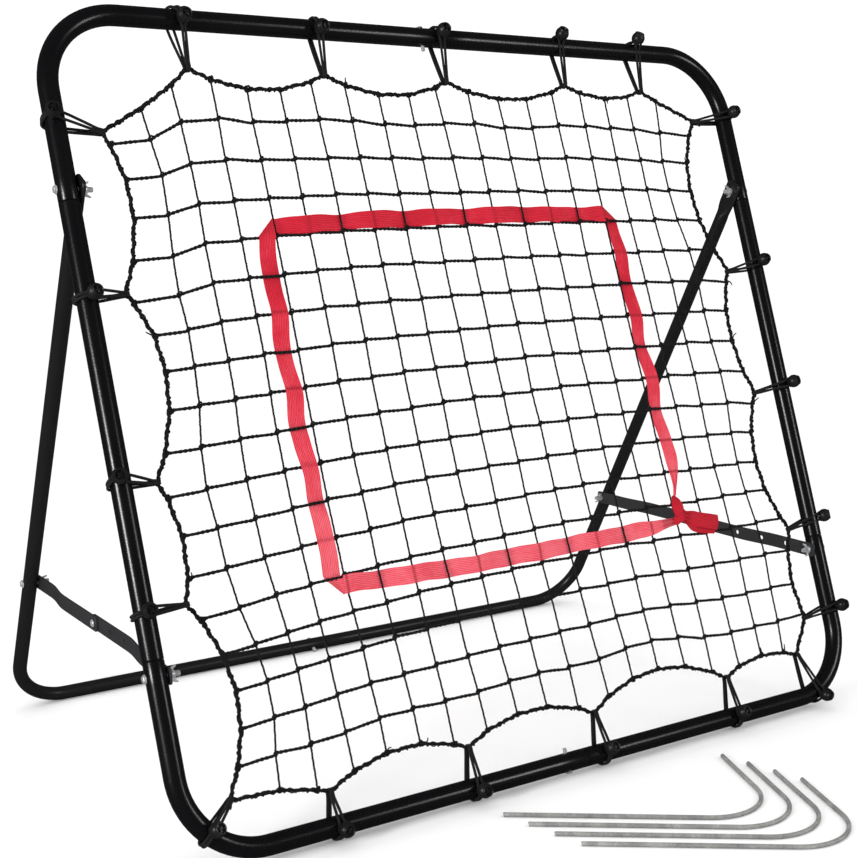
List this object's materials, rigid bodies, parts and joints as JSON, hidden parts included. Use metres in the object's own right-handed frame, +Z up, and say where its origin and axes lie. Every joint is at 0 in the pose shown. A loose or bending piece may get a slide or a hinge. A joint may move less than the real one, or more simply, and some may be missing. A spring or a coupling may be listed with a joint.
{
  "type": "pitch back rebounder",
  "caption": "Leaning square tube frame that holds a knotted net on ball bungees, with a ribbon target, a folding rear U frame, adjustable side struts and loose ground pegs.",
  "frame": {"origin": "on the ground, at the middle of the footprint of the whole object, its loose pegs included", "axes": "+X across the front frame to the right, as seen by a player facing it; +Y from the player towards the rear floor bar; +Z up"},
  "size_m": [1.0062, 0.8971, 0.8821],
  "materials": {
    "black_powder_coat": "satin black powder coat",
    "grey_powder_coat": "satin dark grey powder coat",
    "zinc_plated_steel": "bright zinc plating",
    "galvanised_steel": "dull galvanised wire",
    "black_net_twine": "twisted polyethylene twine",
    "red_webbing": "ribbed polyester webbing",
    "black_ball_bungee": "satin black plastic ball and braided elastic cord"
  },
  "bodies": {
    "front_frame": {"front_top_left_tube": "black_powder_coat", "front_bottom_left_tube": "black_powder_coat", "front_left_side_tube": "black_powder_coat", "left_pivot_bolt": "zinc_plated_steel", "left_front_strut_bolt": "zinc_plated_steel", "front_top_right_tube": "black_powder_coat", "front_bottom_right_tube": "black_powder_coat", "front_right_side_tube": "black_powder_coat", "right_pivot_bolt": "zinc_plated_steel", "right_front_strut_bolt": "zinc_plated_steel", "top_joint_screw": "zinc_plated_steel", "bottom_joint_screw": "zinc_plated_steel", "net": "black_net_twine", "target_ribbon": "red_webbing", "ball_bungee_top_1": "black_ball_bungee", "ball_bungee_top_2": "black_ball_bungee", "ball_bungee_top_3": "black_ball_bungee", "ball_bungee_top_4": "black_ball_bungee", "ball_bungee_top_5": "black_ball_bungee", "ball_bungee_bottom_1": "black_ball_bungee", "ball_bungee_bottom_2": "black_ball_bungee", "ball_bungee_bottom_3": "black_ball_bungee", "ball_bungee_bottom_4": "black_ball_bungee", "ball_bungee_left_1": "black_ball_bungee", "ball_bungee_left_2": "black_ball_bungee", "ball_bungee_left_3": "black_ball_bungee", "ball_bungee_left_4": "black_ball_bungee", "ball_bungee_right_1": "black_ball_bungee", "ball_bungee_right_2": "black_ball_bungee", "ball_bungee_right_3": "black_ball_bungee", "ball_bungee_right_4": "black_ball_bungee", "ball_bungee_right_5": "black_ball_bungee", "ball_bungee_corner_left": "black_ball_bungee", "ball_bungee_corner_right": "black_ball_bungee"},
    "rear_frame": {"rear_left_leg_tube": "black_powder_coat", "rear_left_corner_tube": "black_powder_coat", "left_rear_strut_bolt": "zinc_plated_steel", "rear_right_leg_tube": "black_powder_coat", "rear_right_corner_tube": "black_powder_coat", "right_rear_strut_bolt": "zinc_plated_steel", "rear_joint_screw": "zinc_plated_steel"},
    "left_front_strut": {"left_front_strut": "grey_powder_coat", "left_strut_nut": "zinc_plated_steel"},
    "left_rear_strut": {"left_rear_strut": "grey_powder_coat", "left_strut_bolt": "zinc_plated_steel"},
    "right_front_strut": {"right_front_strut": "grey_powder_coat", "right_strut_nut": "zinc_plated_steel"},
    "right_rear_strut": {"right_rear_strut": "grey_powder_coat", "right_strut_bolt": "zinc_plated_steel"},
    "left_pivot_wing_nut": {"left_pivot_wing_nut": "zinc_plated_steel"},
    "left_front_strut_wing_nut": {"left_front_strut_wing_nut": "zinc_plated_steel"},
    "left_rear_strut_wing_nut": {"left_rear_strut_wing_nut": "zinc_plated_steel"},
    "right_pivot_wing_nut": {"right_pivot_wing_nut": "zinc_plated_steel"},
    "right_front_strut_wing_nut": {"right_front_strut_wing_nut": "zinc_plated_steel"},
    "right_rear_strut_wing_nut": {"right_rear_strut_wing_nut": "zinc_plated_steel"},
    "ground_peg_1": {"ground_peg_1": "galvanised_steel"},
    "ground_peg_2": {"ground_peg_2": "galvanised_steel"},
    "ground_peg_3": {"ground_peg_3": "galvanised_steel"},
    "ground_peg_4": {"ground_peg_4": "galvanised_steel"}
  },
  "joints": [
    {"name": "rear_frame_fold", "type": "hinge", "parent": "front_frame", "child": "rear_frame", "pos_m": [0, 0.09591, 0.67285], "axis": [1, 0, 0], "range_deg": [-14, 0]},
    {"name": "left_front_strut_turn", "type": "hinge", "parent": "front_frame", "child": "left_front_strut", "pos_m": [0, -0.08152, 0.19577], "axis": [1, 0, 0], "range_deg": [0, 35.1]},
    {"name": "left_rear_strut_turn", "type": "hinge", "parent": "rear_frame", "child": "left_rear_strut", "pos_m": [0, 0.34146, 0.19528], "axis": [1, 0, 0], "range_deg": [-39.3, 0]},
    {"name": "right_front_strut_turn", "type": "hinge", "parent": "front_frame", "child": "right_front_strut", "pos_m": [0, -0.08152, 0.19577], "axis": [1, 0, 0], "range_deg": [0, 35.1]},
    {"name": "right_rear_strut_turn", "type": "hinge", "parent": "rear_frame", "child": "right_rear_strut", "pos_m": [0, 0.34146, 0.19528], "axis": [1, 0, 0], "range_deg": [-39.3, 0]},
    {"name": "left_pivot_wing_nut_turn", "type": "hinge", "parent": "front_frame", "child": "left_pivot_wing_nut", "pos_m": [-0.46815, 0.09591, 0.67285], "axis": [1, 0, 0], "range_deg": [0, 360]},
    {"name": "left_front_strut_wing_nut_turn", "type": "hinge", "parent": "front_frame", "child": "left_front_strut_wing_nut", "pos_m": [-0.46965, -0.08152, 0.19577], "axis": [1, 0, 0], "range_deg": [0, 360]},
    {"name": "left_rear_strut_wing_nut_turn", "type": "hinge", "parent": "rear_frame", "child": "left_rear_strut_wing_nut", "pos_m": [-0.4599, 0.34146, 0.19528], "axis": [1, 0, 0], "range_deg": [0, 360]},
    {"name": "right_pivot_wing_nut_turn", "type": "hinge", "parent": "front_frame", "child": "right_pivot_wing_nut", "pos_m": [0.46815, 0.09591, 0.67285], "axis": [-1, 0, 0], "range_deg": [0, 360]},
    {"name": "right_front_strut_wing_nut_turn", "type": "hinge", "parent": "front_frame", "child": "right_front_strut_wing_nut", "pos_m": [0.46965, -0.08152, 0.19577], "axis": [-1, 0, 0], "range_deg": [0, 360]},
    {"name": "right_rear_strut_wing_nut_turn", "type": "hinge", "parent": "rear_frame", "child": "right_rear_strut_wing_nut", "pos_m": [0.4599, 0.34146, 0.19528], "axis": [-1, 0, 0], "range_deg": [0, 360]},
    {"name": "ground_peg_1_lift", "type": "slide", "parent": "front_frame", "child": "ground_peg_1", "axis": [0, 0, 1], "range_m": [0, 0.12]},
    {"name": "ground_peg_2_lift", "type": "slide", "parent": "front_frame", "child": "ground_peg_2", "axis": [0, 0, 1], "range_m": [0, 0.12]},
    {"name": "ground_peg_3_lift", "type": "slide", "parent": "front_frame", "child": "ground_peg_3", "axis": [0, 0, 1], "range_m": [0, 0.12]},
    {"name": "ground_peg_4_lift", "type": "slide", "parent": "front_frame", "child": "ground_peg_4", "axis": [0, 0, 1], "range_m": [0, 0.12]}
  ],
  "couplings": [
    {"joint": "left_front_strut_turn", "follows": "rear_frame_fold", "ratio": -2.5006},
    {"joint": "left_rear_strut_turn", "follows": "rear_frame_fold", "ratio": 2.8036},
    {"joint": "right_front_strut_turn", "follows": "rear_frame_fold", "ratio": -2.5006},
    {"joint": "right_rear_strut_turn", "follows": "rear_frame_fold", "ratio": 2.8036}
  ]
}
